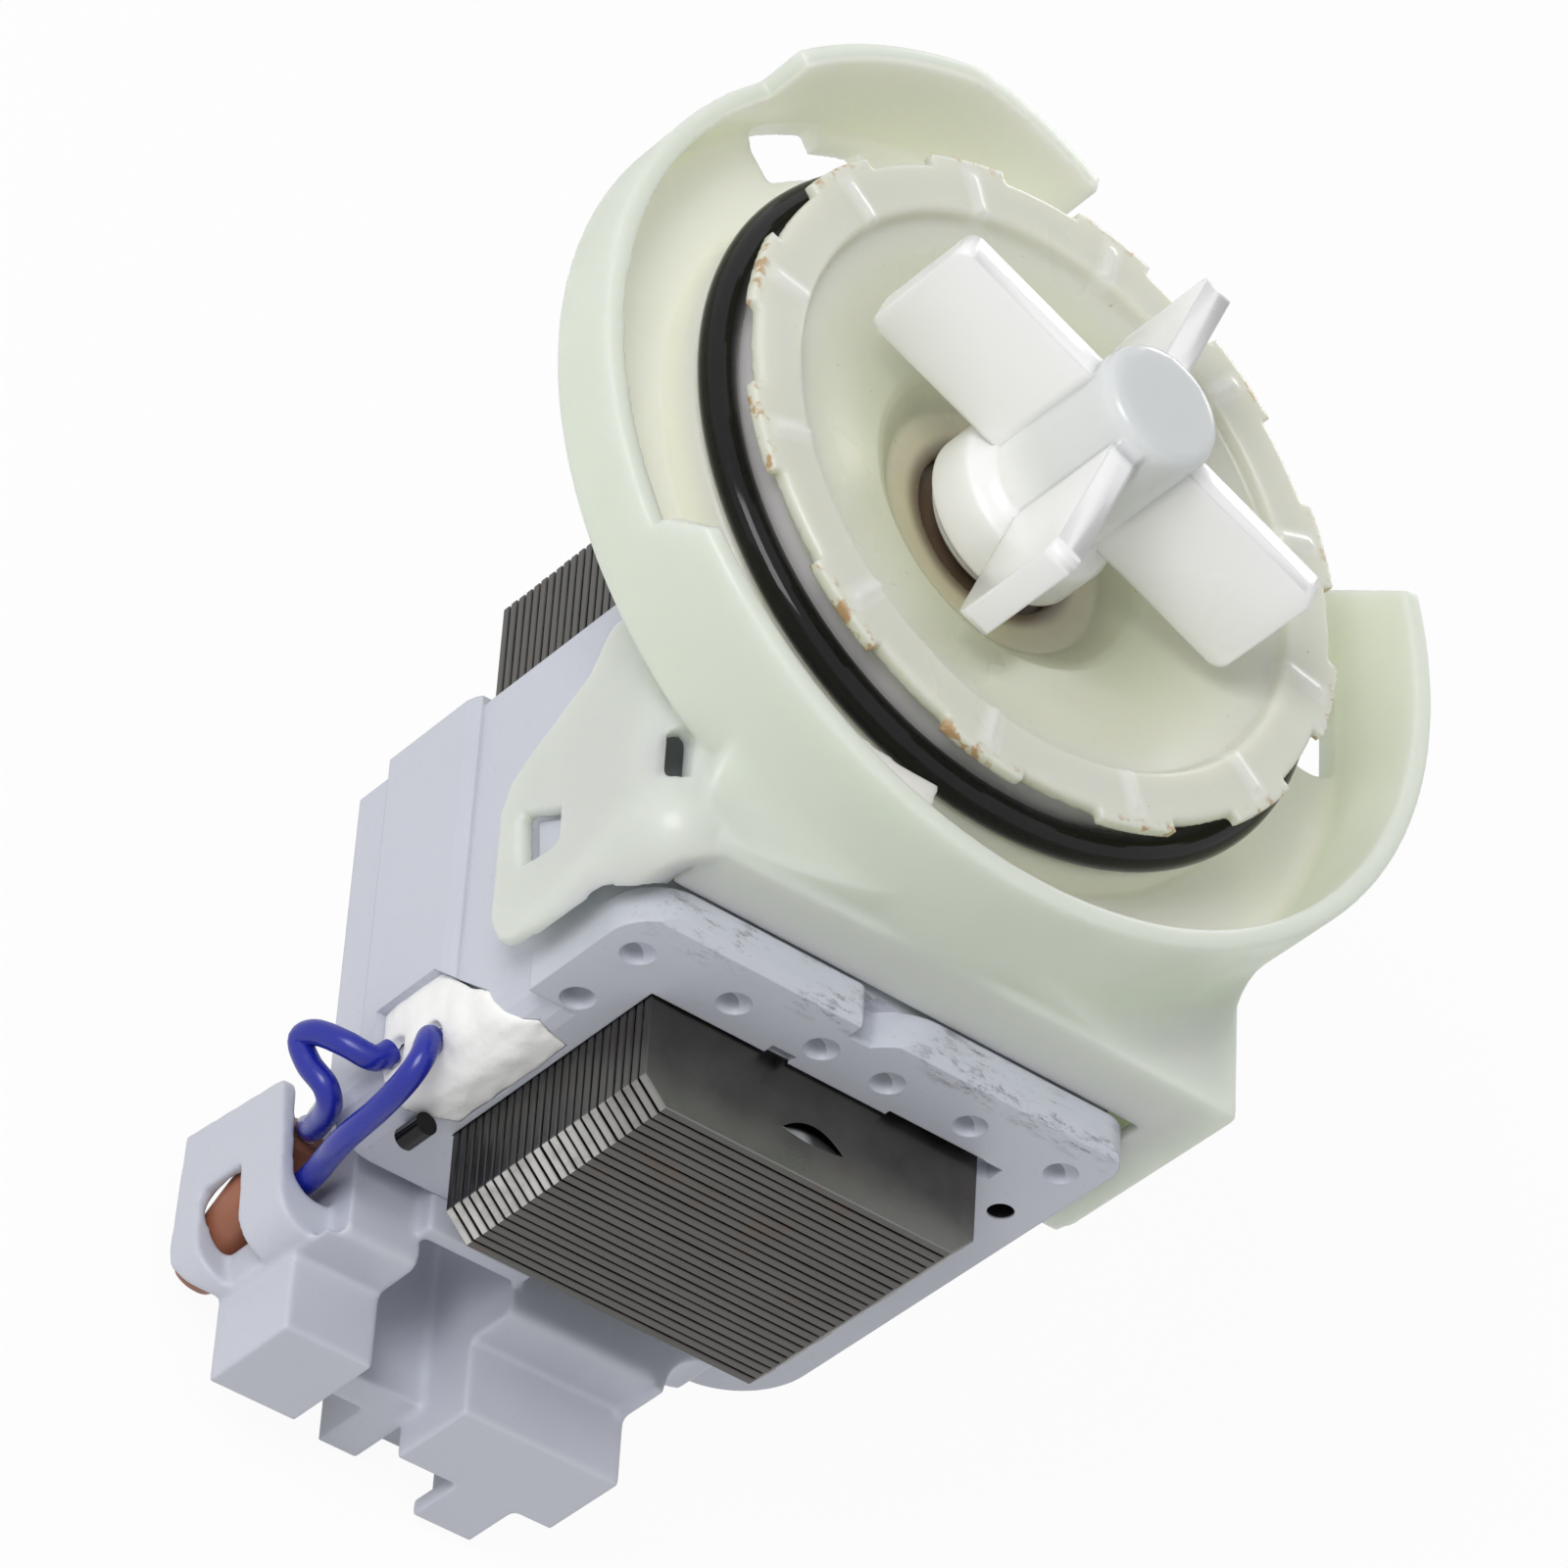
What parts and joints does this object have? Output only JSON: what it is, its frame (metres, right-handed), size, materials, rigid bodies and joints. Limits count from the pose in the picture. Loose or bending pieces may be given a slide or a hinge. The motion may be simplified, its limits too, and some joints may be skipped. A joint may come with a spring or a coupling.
{
  "type": "drain pump",
  "caption": "Synchronous drain pump with a round bayonet collar, O-ring spigot, milky chamber cover, straight-bladed impeller, U-shaped laminated core, coil housing and rear terminals.",
  "frame": {"origin": "on the pump axis in the middle plane of the sealing ring, inside the spigot wall", "axes": "+Z along the pump axis towards the impeller and the sump, -Y towards the yoke of the core, +X to the right when the pump is seen from the impeller side with the yoke below"},
  "size_m": [0.08, 0.096, 0.0939],
  "materials": {
    "impeller_white": "smooth moulded white",
    "cover_milky": "milky beige, tea-coloured stains",
    "bracket_green": "milky pale green, slightly translucent",
    "housing_grey": "cool light grey, scuffed at the front edge",
    "core_steel": "dark lacquered steel laminations, bright at the chamfers",
    "rubber_black": "glossy black",
    "dark_plastic": "dark grey moulded",
    "bearing_carbon": "carbon graphite grey",
    "washer_steel": "plain bright steel",
    "shaft_steel": "ground steel",
    "magnet_ferrite": "sintered ferrite grey",
    "bobbin_white": "natural nylon",
    "copper_enamel": "enamelled copper winding",
    "tab_brass": "tinned brass",
    "protector_brown": "terracotta sleeve",
    "lead_blue": "saturated blue insulation",
    "sealant_white": "cream white sealant"
  },
  "bodies": {
    "stator": {"front_bracket": "bracket_green", "chamber_cover": "cover_milky", "seal_o_ring": "rubber_black", "lip_seal": "rubber_black", "front_grommet": "rubber_black", "front_bearing": "bearing_carbon", "rear_grommet": "rubber_black", "rear_bearing": "bearing_carbon", "stator_core": "core_steel", "coil_housing": "housing_grey", "bobbin_left": "bobbin_white", "bobbin_right": "bobbin_white", "winding_left": "copper_enamel", "winding_right": "copper_enamel", "terminal_carrier": "housing_grey", "tab_line": "tab_brass", "tab_neutral": "tab_brass", "tab_earth": "tab_brass", "thermal_protector": "protector_brown", "lead_in": "lead_blue", "lead_out": "lead_blue", "wire_sleeve": "rubber_black", "potting": "sealant_white"},
    "rotor": {"rotor_shaft": "shaft_steel", "magnet_carrier": "dark_plastic", "rotor_magnet": "magnet_ferrite", "drive_dog": "dark_plastic", "drive_buffer": "rubber_black", "thrust_washer_front": "washer_steel", "thrust_washer_rear": "washer_steel"},
    "impeller": {"impeller": "impeller_white", "impeller_cap": "impeller_white"}
  },
  "joints": [
    {"name": "rotor_spin", "type": "hinge", "parent": "stator", "child": "rotor", "pos_m": [0, 0, 0], "axis": [0, 0, 1], "continuous": true},
    {"name": "impeller_lost_motion", "type": "hinge", "parent": "rotor", "child": "impeller", "pos_m": [0, 0, 0], "axis": [0, 0, 1], "range_deg": [0, 180]}
  ]
}
